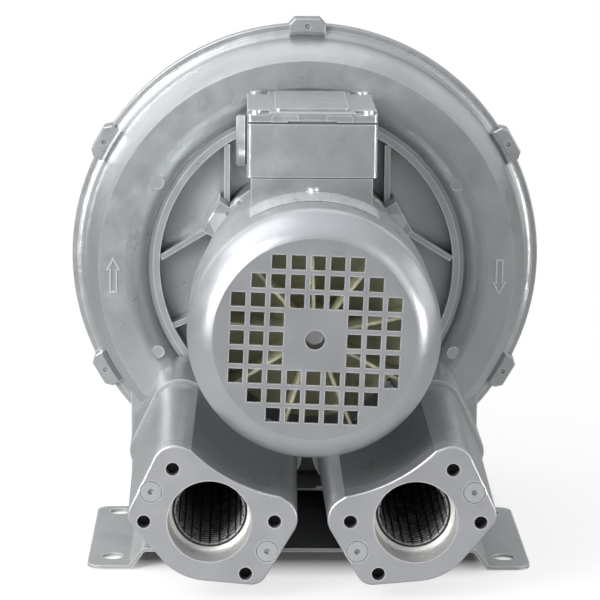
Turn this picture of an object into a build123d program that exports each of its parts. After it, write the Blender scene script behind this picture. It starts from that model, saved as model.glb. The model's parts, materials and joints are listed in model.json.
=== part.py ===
from build123d import *
from math import asin, atan2, cos, degrees, hypot, radians, sin
import os

# Side channel blower with a built-on motor, in millimetres.
# +Y runs along the shaft from the fan cowl to the blower cover, +Z is up and the floor is z = 0.
# The origin is the middle of the four foot holes. Every node is one piece or one set of like pieces.

os.makedirs("parts", exist_ok=True)

# ---------------------------------------------------------------- layout
axis_height = 173.0            # floor to the shaft axis
parting = 125.0                # station of the joint face between housing and cover
running_gap = 0.4              # impeller to casing, each side
radial_gap = 0.5               # impeller tips to casing
screw_clearance = 0.3          # clear holes, on the radius
bolt_clearance = 0.2
screw_end_gap = 1.0            # from a screw's tip to the bottom of its blind hole
large_hex_flats = 13.0         # screws of the foot bracket and the motor flange
large_hex_head = 5.3
small_hex_flats = 10.0
small_hex_head = 4.0

# ---------------------------------------------------------------- blower ring
rim_radius = 166.6
rim_thickness = 5.6            # depths are measured from the parting face
rim_edge_break = 0.8
rim_step_width = 3.6
rim_step = 1.2
wall_foot_radius = 157.0       # outer wall of the ring where it meets the rim fillet
rim_fillet = 6.0
face_depth = 53.0
face_outer_radius = 145.5
face_inner_radius = 127.0
roll_depth = 45.0
roll_inner_radius = 112.6
roll_drop = 1.9                # of the roll's middle below the ring face
valley_depth = 41.0
valley_outer_radius = 111.0
land_outer_radius = 108.0
land_depth = 43.0
pocket_radius = 103.0
pocket_depth = 25.0
rib_end_gap = 0.515             # ribs stop this short of the pocket wall
hub_radius = 70.0
hub_depth = 47.0

channel_outer_radius = 150.0
channel_inner_radius = 108.0
channel_depth = 47.0
disc_space_depth = 17.0
stripper_half_angle = 15.0     # the channel is closed for this angle each side of the bottom
channel_overcut = 1.0

cover_face_inner_radius = 114.0
cover_dish_radius = 105.0
cover_dish_depth = 31.0
cover_disc_space_depth = 25.0
cover_boss_radius = 24.0
cover_boss_depth = 42.0
cover_rib_count = 8
cover_rib_thickness = 4.0
cover_rib_depth = 45.0
cover_rib_first_angle = 22.5
cover_rib_overlap = 3.0        # into the boss and the dish wall together
cover_lip_drop = 1.5           # the ring face turns down to the dish in two steps
cover_lip_depth = 6.0
cover_dish_taper = 2.0
cover_boss_taper = 1.5

lug_count = 6
lug_first_angle = 30.0
lug_reach = 4.2                # beyond the rim
lug_base_half_width = 12.8
lug_tip_half_width = 8.8
lug_edge_break = 0.9
lug_face_width = 4.8           # inside the rim edge; further in a housing lug slopes back
lug_thickness = 12.0
cover_lug_thickness = 8.0
lug_screw_inset = 1.4          # from the rim edge in to the cover screws
cover_screw_radius = 3.0
cover_screw_depth = 9.0        # blind hole in each housing lug
cover_spot_radius = 6.6        # spot face for each screw head
lug_dimple_radius = 2.0
lug_dimple_depth = 1.5

rib_thickness = 4.0
rib_depth = 41.5
hub_lug_angles = (30.0, 150.0, 210.0, 330.0)
hub_lug_width = 24.0
hub_lug_radius = 77.5
hub_lug_length = 24.0
upright_rib_x = 56.0
upright_rib_start = 38.0
slant_rib_start = (65.5, 27.6)
slant_rib_end = (102.2, 5.4)
lower_rib_start = (66.0, -31.0)
lower_rib_end = (93.4, -43.6)
dimple_circle_radius = 120.0
dimple_radius = 4.4
dimple_depth = 52.4

arrow_radius = 135.0
arrow_drop = 5.0
arrow_length = 25.0
arrow_head_length = 9.0
arrow_head_width = 10.0
arrow_stem_width = 5.4
arrow_line = 1.1
arrow_height = 0.8

skirt_half_width = 124.0
skirt_bottom_drop = 165.0      # below the shaft axis
skirt_depth = 27.0
skirt_top_drop = 83.0

# ---------------------------------------------------------------- ports and silencers
port_spread = 129.6            # distance between the two port centres
port_drop = 120.0              # below the shaft axis
port_tilt = 27.9               # long axis of the flange, outer end up
port_bore_radius = 26.25
port_face = -142.6
flange_thickness = 13.0
ledge_depth = 24.5             # from the flange face to the ledge round the silencer
neck_radius = 24.0
neck_length = 2.5
gasket_thickness = 1.0
corner_offset = 35.5
upper_corner_height = 20.5
upper_corner_radius = 14.5
lower_corner_offset = 38.0
lower_corner_height = 15.0
lower_corner_radius = 10.5
flange_body_radius = 39.0
waist_height = 30.7
waist_radius = 105.0
flange_hole_circle = 41.0      # radius of the circle of tapped holes
flange_hole_half_angle = 28.1
flange_hole_radius = 4.2
flange_screw_offset = 41.3
flange_screw_head_radius = 6.6
flange_screw_radius = 3.0
flange_screw_depth = 18.0
flange_screw_socket = 2.0
flange_socket_depth = 2.2
flange_screw_clearance = 0.5
flange_screw_ring_depth = 0.9
flange_edge_round = 1.5

chamber_bore_radius = 27.2
chamber_growth = 2.5
chamber_end = 64.0
collar_start = 12.0
collar_growth = 5.5
collar_end = 100.0
passage_radius = 22.6
passage_end = 97.0
sleeve_gap = 0.2
mesh_wall = 1.4
mesh_end_gap = 0.5

# ---------------------------------------------------------------- foot bracket
foot_hole_spread = 260.0
foot_hole_depth_spacing = 105.0
foot_hole_radius = 7.0
foot_width = 292.0
foot_front = -74.0
foot_rear = 65.0
foot_sheet = 2.5
foot_bore_overcut = 0.5
housing_base_drop = 158.5      # from the shaft axis down to the pads that the bracket carries
foot_bend_x = 117.0
foot_slope = 54.0
foot_bend_radius = 3.0
foot_corner_radius = 9.0
foot_screw_stations = (-42.0, 34.0)
foot_screw_radius = 4.0
foot_screw_depth = 9.0
pad_size = 28.0
pad_height = 10.0

# ---------------------------------------------------------------- motor
frame_front = -72.0
frame_shoulder = 2.0
frame_rear = 62.0
frame_radius = 74.0
frame_rear_radius = 62.5
frame_bore_radius = 58.0
pedestal_half_width = 39.6
pedestal_front = -44.0
pedestal_rear = 60.0
pedestal_height = 82.0         # above the shaft axis
pedestal_wall = 9.0
pedestal_root = 9.0             # solid metal left over the frame bore
shield_thickness = 16.0
spigot_length = 4.0
spigot_gap = 0.05              # on the radius, in the frame bore
shaft_hole_radius = 14.0
flange_screw_circle = 70.0
motor_screw_radius = 4.0
motor_screw_depth = 18.0
tie_bolt_circle = 66.6
tie_bolt_radius = 3.0
tie_bolt_angles = (45.0, 135.0, 225.0, 315.0)
tie_bolt_grip = 11.0
cable_hole_station = 40.0
cable_hole_radius = 9.0
box_screw_points = ((-34.5, -28.0), (34.5, -28.0), (-34.5, 46.0), (34.5, 46.0))
box_screw_radius = 2.5
box_screw_depth = 12.0

fan_shield_front = -94.0
fan_shield_web = 7.0
fan_shield_rim = 12.0
shield_rim_wall = 4.0
fan_shield_hole_radius = 11.0
washer_space = 1.5
fan_shield_hub_radius = 31.0
cowl_pad_radius = 77.3
cowl_pad_half_width = 8.0
cowl_pad_length = 10.0

stator_front = -50.0
stator_rear = 30.0
stator_bore_radius = 35.0
slot_count = 18
slot_inner_radius = 38.0
slot_outer_radius = 50.0
slot_width = 6.0
winding_overhang = 14.0
winding_inner_radius = 37.0
winding_outer_radius = 52.5

air_gap = 0.35
bar_count = 16
bar_inner_radius = 27.0
bar_outer_radius = 32.5
bar_width = 3.6
end_ring_length = 9.0

# ---------------------------------------------------------------- shaft and bearings
shaft_front = -148.0
fan_seat_radius = 8.5
fan_bearing_station = -90.0    # first face of the fan-end bearing
fan_bearing_bore = 20.0
fan_bearing_outer = 47.0
fan_bearing_width = 14.0
drive_bearing_station = 60.0
drive_bearing_bore = 25.0
drive_bearing_outer = 52.0
drive_bearing_width = 15.0
rotor_seat_radius = 14.0
impeller_seat_radius = 12.0
shaft_rear = 137.0
shaft_chamfer = 1.0
end_screw_radius = 4.0
end_screw_depth = 24.0
end_washer_radius = 16.0
end_washer_thickness = 3.0
clip_station = -145.0
clip_width = 1.6
ball_gap = 0.06
seal_radius = 21.0
seal_width = 8.0
seal_station = 81.0
seal_lip_gap = 0.05

# ---------------------------------------------------------------- impeller
impeller_half_width = 19.0
impeller_band = 4.0
impeller_web_half = 4.0
impeller_hub_radius = 27.0
impeller_hub_front = 112.0
impeller_hub_rear = 138.0
impeller_core_half = 13.0
impeller_core_tip_half = 1.6
impeller_core_radius = 141.0
blade_count = 36
blade_thickness = 3.0
balance_hole_count = 6
balance_hole_radius = 5.0
balance_hole_circle = 60.0
key_width = 8.0
key_height = 7.0
key_sunk = 4.0
key_length = 20.0

# ---------------------------------------------------------------- cooling fan and cowl
fan_front = -143.0
fan_rear = -110.0
fan_plate = 2.4
fan_hub_radius = 16.0
fan_radius = 67.0
fan_blade_count = 9
fan_blade_thickness = 2.0

cowl_front = -157.0
cowl_rear = -72.0
cowl_radius = 79.0
cowl_wall = 1.4
cowl_face_radius = 63.0
cowl_nose = 20.0
cowl_turn = -2.0               # the hole pattern sits turned a little
cowl_pitch = 12.0
cowl_hole = 8.8
cowl_centre_hole_radius = 6.1
cowl_hole_rows = (2, 3, 4, 4, 4, 4, 4, 3, 2)
cowl_screw_angles = (90.0, 210.0, 330.0)
cowl_screw_station = -77.0
nameplate_half_width = 40.0
nameplate_front = -114.0
nameplate_rear = -82.0
nameplate_thickness = 0.6
nameplate_glue = 0.2

cowl_screw_radius = 2.5
cowl_screw_grip = 7.0

# ---------------------------------------------------------------- terminal box
box_half_width = 42.3
box_front = -46.0
box_rear = 64.0
box_bottom = 83.0              # above the shaft axis
box_top = 117.8
box_wall = 3.2
box_floor = 4.0
box_corner = 3.0
post_size = 12.0
lid_gasket_thickness = 1.4
lid_edge_height = 4.6
lid_body_height = 6.4
lid_panel_height = 7.8
lid_pad = 14.0
lid_panel_half_width = 24.0
lid_tab_width = 18.0
lid_tab_offset = 17.5
lid_tab_proud = 0.9
slit_width = 32.0
slit_height = 0.9
slit_depth = 1.2
plug_station = 4.0
plug_height = 100.0
plug_radius = 17.0
plug_head = 6.0
plug_thread_radius = 12.0
plug_seal_thickness = 1.2
board_length = 62.0
board_width = 38.0
board_thickness = 8.0
board_lift = 2.0
stud_pitch = 20.0
stud_row = 18.0
stud_radius = 2.5
link_thickness = 1.5
board_station = -8.0
cable_window = 16.0
lid_screw_radius = 2.0
lid_screw_depth = 14.0
lid_gasket_set_back = 0.6
lid_panel_margin = 8.0
earth_point = (24.0, 44.0)
earth_screw_radius = 2.5
socket_depth_share = 0.6       # of a screw head's height


# ---------------------------------------------------------------- helpers
def cross_plane(station, x=0.0, z=axis_height):
    """Plane square to the shaft: local x is +X, local y is +Z, and it faces the fan end."""
    return Plane((x, station, z), x_dir=(1, 0, 0), z_dir=(0, -1, 0))


def radial_plane(angle):
    """Half-section plane through the shaft: local x is the station, local y the radius."""
    turn_x = sin(radians(angle))
    turn_z = -cos(radians(angle))
    return Plane((0, 0, axis_height), x_dir=(0, 1, 0), z_dir=(turn_x, 0, turn_z))


def outward_plane(angle, station, radius):
    """Plane that faces away from the shaft at an angle, station and radius."""
    out_x = cos(radians(angle))
    out_z = sin(radians(angle))
    centre = (radius * out_x, station, axis_height + radius * out_z)
    return Plane(centre, x_dir=(0, 1, 0), z_dir=(out_x, 0, out_z))


def port_plane(station):
    """Plane on the right-hand port axis: local x is the flange's long axis, outer end up."""
    tilt = radians(port_tilt)
    port_height = axis_height - port_drop
    return Plane((port_spread / 2, station, port_height), x_dir=(cos(tilt), 0, sin(tilt)), z_dir=(0, -1, 0))


shaft_axis = Axis((0, 0, axis_height), (0, 1, 0))


def turn(points, mode=Mode.ADD):
    """Turned form from a half-section of (station, radius) points."""
    with BuildSketch(radial_plane(90)) as section:
        with BuildLine():
            Polyline(*points, close=True)
        make_face()
    revolve(section.sketch, axis=shaft_axis, mode=mode)


def tube(front, rear, outer, inner, mode=Mode.ADD):
    """Round tube about the shaft between two stations."""
    turn([(front, inner), (rear, inner), (rear, outer), (front, outer)], mode)


def block(low, high, mode=Mode.ADD):
    """Rectangular block between two corners."""
    with BuildSketch(Plane((0, 0, low[2]))) as base:
        with Locations(((low[0] + high[0]) / 2, (low[1] + high[1]) / 2)):
            Rectangle(high[0] - low[0], high[1] - low[1])
    extrude(base.sketch, amount=high[2] - low[2], mode=mode)


def round_bar(seat, radius, length, mode=Mode.ADD):
    """Round bar that stands on a plane, or goes below it with a negative length."""
    with BuildSketch(seat) as section:
        Circle(radius)
    extrude(section.sketch, amount=length, mode=mode)


def round_bars(station, points, radius, length, mode=Mode.ADD):
    """Set of round bars along the shaft direction; points are (x, height over the shaft).

    A positive length goes towards the fan end.
    """
    with BuildSketch(cross_plane(station)) as section:
        with Locations(*points):
            Circle(radius)
    extrude(section.sketch, amount=length, mode=mode)


def polar(radius, angles):
    """Points at a radius and a list of angles, as (x, height over the shaft)."""
    return [(radius * cos(radians(angle)), radius * sin(radians(angle))) for angle in angles]


def hex_screw(seat, radius, length, flats, head):
    """Hexagon screw: its head stands on the seat plane and its shank goes below it."""
    with BuildSketch(seat) as hexagon:
        RegularPolygon(flats / 2, 6, major_radius=False)
    extrude(hexagon.sketch, amount=head)
    round_bar(seat, radius, -length)


def pan_screw(seat, radius, length, head_radius, head, socket):
    """Screw with a round head and a small hexagon socket, standing on the seat plane."""
    round_bar(seat, head_radius, head)
    round_bar(seat, radius, -length)
    with BuildSketch(seat.offset(head)) as recess:
        RegularPolygon(socket, 6)
    extrude(recess.sketch, amount=-head * socket_depth_share, mode=Mode.SUBTRACT)


def keep(builder, name):
    """Label a finished piece and write its STEP file."""
    builder.part.label = name
    export_step(builder.part, "parts/" + name + ".step")


def keep_mirrored(builder, name):
    """Write the left-hand twin of a right-hand piece."""
    with BuildPart() as twin:
        mirror(builder.part, about=Plane.YZ)
    keep(twin, name)


# ---------------------------------------------------------------- shared ring forms
rim_step_radius = rim_radius - rim_step_width
lug_outer_radius = rim_radius + lug_reach
lug_face_radius = rim_radius - lug_face_width
lug_screw_circle = rim_radius - lug_screw_inset


def ring_station(side, depth):
    """Station of a depth from the parting face: side -1 is the housing, +1 the cover."""
    return parting + side * depth


def ring_body(side, inner_points):
    """Outside of one half of the blower ring, from the rim in to the ring face, then inwards."""
    fillet_depth = rim_thickness + rim_step + rim_fillet
    fillet_mid = rim_fillet * sin(radians(45))

    def at(depth, radius):
        return (ring_station(side, depth), radius)

    with BuildSketch(radial_plane(90)) as section:
        with BuildLine():
            Polyline(
                at(0, 0),
                at(0, rim_radius),
                at(rim_thickness - rim_edge_break, rim_radius),
                at(rim_thickness, rim_radius - rim_edge_break),
                at(rim_thickness, rim_step_radius),
                at(rim_thickness + rim_step, rim_step_radius),
            )
            ThreePointArc(
                at(rim_thickness + rim_step, wall_foot_radius + rim_fillet),
                at(fillet_depth - fillet_mid, wall_foot_radius + rim_fillet - fillet_mid),
                at(fillet_depth, wall_foot_radius),
            )
            # the wall leaves the fillet along the shaft and curves in to the edge of the face
            wall_run = face_depth - fillet_depth
            wall_drop = wall_foot_radius - face_outer_radius
            wall_curve = (wall_run**2 + wall_drop**2) / (2 * wall_drop)
            wall_sag = wall_curve - (wall_curve**2 - (wall_run / 2) ** 2) ** 0.5
            ThreePointArc(
                at(fillet_depth, wall_foot_radius),
                at(fillet_depth + wall_run / 2, wall_foot_radius - wall_sag),
                at(face_depth, face_outer_radius),
            )
            inner_points(at)
        make_face()
    revolve(section.sketch, axis=shaft_axis)


def rotor_space(side, disc_depth):
    """Space in which the impeller turns."""
    band_depth = impeller_half_width + running_gap

    def at(depth, radius):
        return (ring_station(side, depth), radius)

    points = [
        at(0, 0),
        at(disc_depth, 0),
        at(disc_depth, pocket_radius),
        at(band_depth, pocket_radius),
        at(band_depth, channel_outer_radius),
        at(0, channel_outer_radius),
    ]
    turn(points, Mode.SUBTRACT)


def side_channel(side):
    """Side channel: a round-bottomed groove, closed by the stripper at the bottom of the ring."""
    band_depth = impeller_half_width + running_gap
    channel_radius = (channel_outer_radius - channel_inner_radius) / 2
    channel_middle = channel_inner_radius + channel_radius
    arc_depth = channel_depth - channel_radius

    def at(depth, radius):
        return (ring_station(side, depth), radius)

    with BuildSketch(radial_plane(270.0 - stripper_half_angle)) as section:
        with BuildLine():
            Line(at(arc_depth, channel_outer_radius), at(band_depth - channel_overcut, channel_outer_radius))
            Line(at(band_depth - channel_overcut, channel_outer_radius), at(band_depth - channel_overcut, channel_inner_radius))
            Line(at(band_depth - channel_overcut, channel_inner_radius), at(arc_depth, channel_inner_radius))
            ThreePointArc(
                at(arc_depth, channel_inner_radius),
                at(channel_depth, channel_middle),
                at(arc_depth, channel_outer_radius),
            )
        make_face()
    arc = 360.0 - 2 * stripper_half_angle
    revolve(section.sketch, axis=shaft_axis, revolution_arc=arc, mode=Mode.SUBTRACT)


def lug_angles():
    """Angles of the cover screw lugs round the rim."""
    return [lug_first_angle + index * 360.0 / lug_count for index in range(lug_count)]


def rim_lugs(half, side, thickness):
    """Trapezoid lugs round the rim that take the cover screws; they come first in their half."""
    corners = [
        (0, -lug_base_half_width),
        (rim_radius - wall_foot_radius, -lug_base_half_width),
        (lug_outer_radius - wall_foot_radius, -lug_tip_half_width),
        (lug_outer_radius - wall_foot_radius, lug_tip_half_width),
        (rim_radius - wall_foot_radius, lug_base_half_width),
        (0, lug_base_half_width),
    ]
    with BuildSketch(cross_plane(parting)) as lugs:
        with PolarLocations(wall_foot_radius, lug_count, start_angle=lug_first_angle):
            Polygon(*corners, align=None)
    extrude(lugs.sketch, amount=-side * thickness)
    outer_faces = half.faces().filter_by(Axis.Y).group_by(Axis.Y)[0 if side < 0 else -1]
    chamfer(outer_faces.edges(), lug_edge_break)


# ---------------------------------------------------------------- port outline
def flange_outline(station, growth=0.0):
    """Outline of a port flange: four round corners about a round body, with a waist on top."""
    with BuildSketch(port_plane(station)) as outline:
        with Locations((corner_offset, upper_corner_height), (-corner_offset, upper_corner_height)):
            Circle(upper_corner_radius + growth)
        with Locations((lower_corner_offset, -lower_corner_height), (-lower_corner_offset, -lower_corner_height)):
            Circle(lower_corner_radius + growth)
        Circle(flange_body_radius + growth)
        make_hull()
        with Locations((0, waist_height + waist_radius)):
            Circle(waist_radius - growth, mode=Mode.SUBTRACT)
    return outline.sketch


# ================================================================ blower housing
chamber_front = port_face + flange_thickness + gasket_thickness
plateau = axis_height - housing_base_drop
foot_rise = plateau - foot_sheet
ledge_station = port_face + ledge_depth
neck_end = ledge_station + neck_length


def housing_inner_points(at):
    """Housing section from the ring face in to the hub: roll, valley, land, pocket and hub."""
    roll_middle = (face_inner_radius + roll_inner_radius) / 2
    Line(at(face_depth, face_outer_radius), at(face_depth, face_inner_radius))
    ThreePointArc(
        at(face_depth, face_inner_radius),
        at(face_depth - roll_drop, roll_middle),
        at(roll_depth, roll_inner_radius),
    )
    Polyline(
        at(roll_depth, roll_inner_radius),
        at(valley_depth, valley_outer_radius),
        at(valley_depth, land_outer_radius),
        at(land_depth, land_outer_radius),
        at(land_depth, pocket_radius),
        at(pocket_depth, pocket_radius),
        at(pocket_depth, hub_radius),
        at(hub_depth, hub_radius),
        at(hub_depth, 0),
        at(0, 0),
    )


def pocket_ribs(lines):
    """Straight ribs that stand in the pocket; each line runs between two (x, height) points."""
    with BuildSketch(cross_plane(ring_station(-1, pocket_depth))) as feet:
        for start, end in lines:
            run_x = end[0] - start[0]
            run_z = end[1] - start[1]
            middle = ((start[0] + end[0]) / 2, (start[1] + end[1]) / 2, 0)
            with Locations(Location(middle, (0, 0, degrees(atan2(run_z, run_x))))):
                Rectangle(hypot(run_x, run_z), rib_thickness)
    extrude(feet.sketch, amount=rib_depth - pocket_depth)


def direction_arrow(x, pointing):
    """Raised outline of an arrow on the ring face; pointing is +1 up or -1 down."""
    face = cross_plane(ring_station(-1, face_depth), x, axis_height - arrow_drop)
    half = arrow_length / 2 * pointing
    neck = half - arrow_head_length * pointing
    with BuildSketch(face) as arrow:
        with BuildLine():
            Polyline(
                (0, half),
                (arrow_head_width / 2, neck),
                (arrow_stem_width / 2, neck),
                (arrow_stem_width / 2, -half),
                (-arrow_stem_width / 2, -half),
                (-arrow_stem_width / 2, neck),
                (-arrow_head_width / 2, neck),
                close=True,
            )
        make_face()
        offset(amount=-arrow_line, kind=Kind.INTERSECTION, mode=Mode.SUBTRACT)
    extrude(arrow.sketch, amount=arrow_height)


# One silencer chamber with its collar, made for the right-hand port.
with BuildPart() as chamber:
    loft([flange_outline(chamber_front), flange_outline(collar_start + 2, chamber_growth)])
    extrude(flange_outline(collar_end, collar_growth), amount=collar_end - collar_start)
    with BuildSketch(port_plane(chamber_front)) as screw_holes:
        with Locations((flange_screw_offset, 0), (-flange_screw_offset, 0)):
            Circle(flange_screw_radius)
    extrude(screw_holes.sketch, amount=-flange_screw_depth, mode=Mode.SUBTRACT)

with BuildPart() as blower_housing:
    rim_lugs(blower_housing, -1, lug_thickness)
    # inside its flat front each lug slopes back to the rim
    slope = lug_face_radius - wall_foot_radius
    lug_front = ring_station(-1, lug_thickness)
    turn(
        [
            (lug_front - slope, lug_face_radius + slope),
            (lug_front + slope, wall_foot_radius),
            (lug_front + slope, wall_foot_radius - slope),
            (lug_front - slope, wall_foot_radius - slope),
        ],
        Mode.SUBTRACT,
    )
    ring_body(-1, housing_inner_points)
    add(chamber.part)
    mirror(chamber.part, about=Plane.YZ)
    block(
        (-skirt_half_width, ring_station(-1, skirt_depth), axis_height - skirt_bottom_drop),
        (skirt_half_width, parting, axis_height - skirt_top_drop),
    )
    # square lugs round the hub, with ribs that spread from them to the land
    with BuildSketch(cross_plane(ring_station(-1, pocket_depth))) as hub_lugs:
        for lug_angle in hub_lug_angles:
            lug_middle = polar(hub_lug_radius - hub_lug_length / 2, [lug_angle])[0]
            with Locations(Location((*lug_middle, 0), (0, 0, lug_angle))):
                Rectangle(hub_lug_length, hub_lug_width)
    extrude(hub_lugs.sketch, amount=hub_depth - pocket_depth)
    rib_reach = pocket_radius - rib_end_gap
    upright_reach = (rib_reach**2 - upright_rib_x**2) ** 0.5
    rib_lines = []
    for way in (-1, 1):
        for updown in (-1, 1):
            foot_point = (upright_rib_x * way, upright_rib_start * updown)
            rib_lines.append((foot_point, (upright_rib_x * way, upright_reach * updown)))
        rib_lines.append(((slant_rib_start[0] * way, slant_rib_start[1]), (slant_rib_end[0] * way, slant_rib_end[1])))
        rib_lines.append(((lower_rib_start[0] * way, lower_rib_start[1]), (lower_rib_end[0] * way, lower_rib_end[1])))
    pocket_ribs(rib_lines)
    # four round dimples stand on the roll
    dimple_points = polar(dimple_circle_radius, hub_lug_angles)
    round_bars(ring_station(-1, valley_depth), dimple_points, dimple_radius, dimple_depth - valley_depth)
    direction_arrow(-arrow_radius, 1)
    direction_arrow(arrow_radius, -1)
    # screw pads under the chambers, then everything under the bracket top is cut level
    for way in (-1, 1):
        for station in foot_screw_stations:
            pad_x = way * port_spread / 2
            block(
                (pad_x - pad_size / 2, station - pad_size / 2, plateau),
                (pad_x + pad_size / 2, station + pad_size / 2, plateau + pad_height),
            )
    block((-rim_radius, foot_front - 2, 0), (rim_radius, foot_rear + 2, plateau), Mode.SUBTRACT)
    rotor_space(-1, disc_space_depth)
    side_channel(-1)
    port_points = [(way * port_spread / 2, -port_drop) for way in (-1, 1)]
    round_bars(ledge_station, port_points, port_bore_radius, ledge_station - chamber_front, Mode.SUBTRACT)
    round_bars(neck_end, port_points, neck_radius, neck_length, Mode.SUBTRACT)
    round_bars(chamber_end, port_points, chamber_bore_radius, chamber_end - neck_end, Mode.SUBTRACT)
    round_bars(passage_end, port_points, passage_radius, passage_end - chamber_end, Mode.SUBTRACT)
    tube(ring_station(-1, hub_depth), parting, shaft_hole_radius, 0, Mode.SUBTRACT)
    tube(ring_station(-1, hub_depth), seal_station + seal_width, seal_radius, 0, Mode.SUBTRACT)
    # blind holes for the cover screws, and the small dimple on each lug's front
    lug_points = polar(lug_screw_circle, lug_angles())
    round_bars(parting, lug_points, cover_screw_radius, cover_screw_depth, Mode.SUBTRACT)
    round_bars(parting - lug_thickness, lug_points, lug_dimple_radius, -lug_dimple_depth, Mode.SUBTRACT)
    # blind holes for the motor screws, the foot screws and the flange screws
    motor_screw_points = polar(flange_screw_circle, hub_lug_angles)
    round_bars(ring_station(-1, hub_depth), motor_screw_points, motor_screw_radius, -motor_screw_depth, Mode.SUBTRACT)
    with BuildSketch(Plane.XY.offset(plateau)) as foot_holes:
        with Locations(*[(way * port_spread / 2, station) for way in (-1, 1) for station in foot_screw_stations]):
            Circle(foot_screw_radius)
    extrude(foot_holes.sketch, amount=foot_screw_depth, mode=Mode.SUBTRACT)
keep(blower_housing, "blower_housing")

# ================================================================ housing cover
def cover_inner_points(at):
    """Cover section from the ring face in to the dished middle and its boss."""
    dish_fillet = (cover_face_inner_radius - cover_dish_radius) * 0.5
    Line(at(face_depth, face_outer_radius), at(face_depth, cover_face_inner_radius))
    ThreePointArc(
        at(face_depth, cover_face_inner_radius),
        at(face_depth - cover_lip_drop, cover_face_inner_radius - dish_fillet),
        at(face_depth - cover_lip_depth, cover_dish_radius + cover_dish_taper),
    )
    Polyline(
        at(face_depth - cover_lip_depth, cover_dish_radius + cover_dish_taper),
        at(cover_dish_depth, cover_dish_radius),
        at(cover_dish_depth, cover_boss_radius),
        at(cover_boss_depth, cover_boss_radius - cover_boss_taper),
        at(cover_boss_depth, 0),
        at(0, 0),
    )


with BuildPart() as housing_cover:
    rim_lugs(housing_cover, 1, cover_lug_thickness)
    ring_body(1, cover_inner_points)
    with BuildSketch(cross_plane(ring_station(1, cover_dish_depth))) as cover_ribs:
        with PolarLocations((cover_boss_radius + cover_dish_radius) / 2, cover_rib_count, start_angle=cover_rib_first_angle):
            Rectangle(cover_dish_radius - cover_boss_radius + cover_rib_overlap, cover_rib_thickness)
    extrude(cover_ribs.sketch, amount=-(cover_rib_depth - cover_dish_depth))
    rotor_space(1, cover_disc_space_depth)
    side_channel(1)
    lug_points = polar(lug_screw_circle, lug_angles())
    round_bars(parting, lug_points, cover_screw_radius + screw_clearance, -cover_lug_thickness, Mode.SUBTRACT)
    round_bars(parting + cover_lug_thickness, lug_points, cover_spot_radius, -rim_fillet, Mode.SUBTRACT)
keep(housing_cover, "housing_cover")

with BuildPart() as cover_screws:
    for lug_x, lug_z in polar(lug_screw_circle, lug_angles()):
        seat = cross_plane(parting + cover_lug_thickness, lug_x, axis_height + lug_z)
        screw_length = cover_lug_thickness + cover_screw_depth - screw_end_gap
        hex_screw(Plane(seat.origin, seat.x_dir, -seat.z_dir), cover_screw_radius, screw_length, 10.0, 4.0)
keep(cover_screws, "cover_screws")

# ================================================================ ports: plates, gaskets, screws, silencers
flange_back = port_face + flange_thickness

with BuildPart() as outlet_flange_plate:
    extrude(flange_outline(flange_back), amount=flange_thickness)
    front_edges = outlet_flange_plate.faces().sort_by(Axis.Y)[0].outer_wire().edges()
    fillet(front_edges, flange_edge_round)
    round_bar(port_plane(port_face), port_bore_radius, -flange_thickness, Mode.SUBTRACT)
    with BuildSketch(port_plane(port_face)) as tapped_holes:
        hole_angles = [end + way * flange_hole_half_angle for end in (0, 180) for way in (-1, 1)]
        with Locations(*polar(flange_hole_circle, hole_angles)):
            Circle(flange_hole_radius)
    extrude(tapped_holes.sketch, amount=-flange_thickness, mode=Mode.SUBTRACT)
    with Locations(port_plane(port_face)):
        with Locations((flange_screw_offset, 0), (-flange_screw_offset, 0)):
            CounterSinkHole(flange_screw_radius, flange_screw_head_radius, flange_thickness, 90)
    with BuildSketch(port_plane(port_face)) as screw_rings:
        with Locations((flange_screw_offset, 0), (-flange_screw_offset, 0)):
            Circle(flange_screw_head_radius + flange_screw_clearance)
    extrude(screw_rings.sketch, amount=-flange_screw_ring_depth, mode=Mode.SUBTRACT)
keep(outlet_flange_plate, "outlet_flange_plate")
keep_mirrored(outlet_flange_plate, "inlet_flange_plate")

with BuildPart() as outlet_flange_gasket:
    extrude(flange_outline(chamber_front), amount=gasket_thickness)
    round_bar(port_plane(chamber_front), chamber_bore_radius, gasket_thickness, Mode.SUBTRACT)
    with BuildSketch(port_plane(chamber_front)) as gasket_holes:
        with Locations((flange_screw_offset, 0), (-flange_screw_offset, 0)):
            Circle(flange_screw_radius)
    extrude(gasket_holes.sketch, amount=gasket_thickness, mode=Mode.SUBTRACT)
keep(outlet_flange_gasket, "outlet_flange_gasket")
keep_mirrored(outlet_flange_gasket, "inlet_flange_gasket")

with BuildPart() as outlet_flange_screws:
    cone_height = flange_screw_head_radius - flange_screw_radius
    for end in (-1, 1):
        with BuildSketch(port_plane(port_face)) as head:
            with Locations((end * flange_screw_offset, 0)):
                Circle(flange_screw_head_radius)
        with BuildSketch(port_plane(port_face + cone_height)) as neck:
            with Locations((end * flange_screw_offset, 0)):
                Circle(flange_screw_radius)
        loft([head.sketch, neck.sketch])
        extrude(neck.sketch, amount=-(flange_thickness + gasket_thickness + flange_screw_depth - cone_height - screw_end_gap))
    with BuildSketch(port_plane(port_face)) as sockets:
        with Locations((flange_screw_offset, 0), (-flange_screw_offset, 0)):
            RegularPolygon(flange_screw_socket, 6)
    extrude(sockets.sketch, amount=-flange_socket_depth, mode=Mode.SUBTRACT)
keep(outlet_flange_screws, "outlet_flange_screws")
keep_mirrored(outlet_flange_screws, "inlet_flange_screws")

mesh_outer_radius = passage_radius
mesh_front = ledge_station
mesh_rear = chamber_end - mesh_end_gap
mesh_length = mesh_rear - mesh_front

with BuildPart() as outlet_silencer_mesh:
    round_bar(port_plane(mesh_front), mesh_outer_radius, -mesh_length)
    round_bar(port_plane(mesh_front), mesh_outer_radius - mesh_wall, -mesh_length, Mode.SUBTRACT)
keep(outlet_silencer_mesh, "outlet_silencer_mesh")
keep_mirrored(outlet_silencer_mesh, "inlet_silencer_mesh")

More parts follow.
